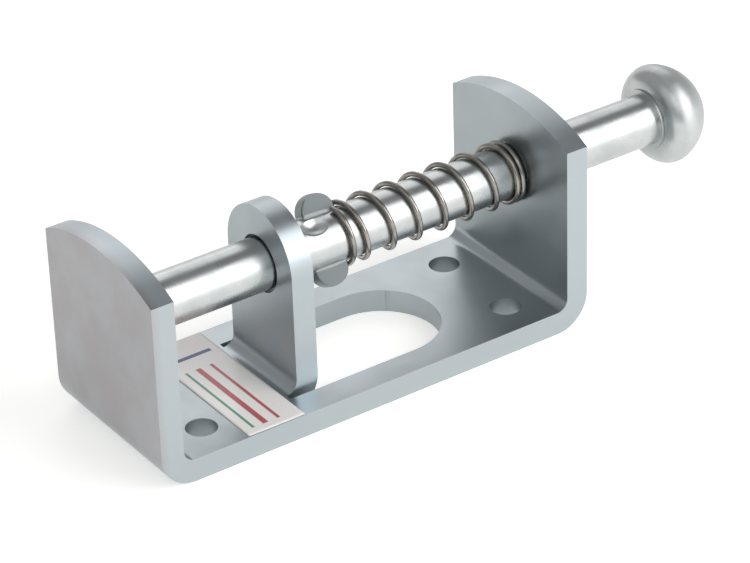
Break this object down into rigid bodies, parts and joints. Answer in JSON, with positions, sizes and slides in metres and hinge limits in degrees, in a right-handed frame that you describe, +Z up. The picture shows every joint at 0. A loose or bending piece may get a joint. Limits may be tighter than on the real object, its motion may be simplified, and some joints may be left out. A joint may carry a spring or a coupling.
{
  "type": "spring loaded gate latch",
  "caption": "Folded steel channel bracket with a guide ear, carrying a round sliding bolt with a mushroom knob that a coil spring holds shut.",
  "frame": {"origin": "middle of the four screw holes, on the underside of the bracket", "axes": "+X along the bolt towards its knob, +Y to the back, +Z up, away from the mounting face"},
  "size_m": [0.145, 0.0384, 0.0455],
  "materials": {
    "bracket": "zinc plated, satin",
    "bolt": "zinc plated, bright",
    "spring": "drawn wire, bright",
    "label": "paper"
  },
  "bodies": {
    "bracket": {"bracket": "bracket", "label": "label"},
    "spring": {"spring": "spring"},
    "bolt": {"bolt": "bolt"}
  },
  "joints": [
    {"name": "bolt_turn", "type": "hinge", "parent": "bracket", "child": "spring", "pos_m": [0.02, 0, 0.029], "axis": [1, 0, 0], "continuous": true},
    {"name": "bolt_slide", "type": "slide", "parent": "spring", "child": "bolt", "axis": [1, 0, 0], "range_m": [0, 0.03], "stiffness_N_per_m": 1540, "springref_m": -0.012, "deforming": ["spring"]}
  ]
}
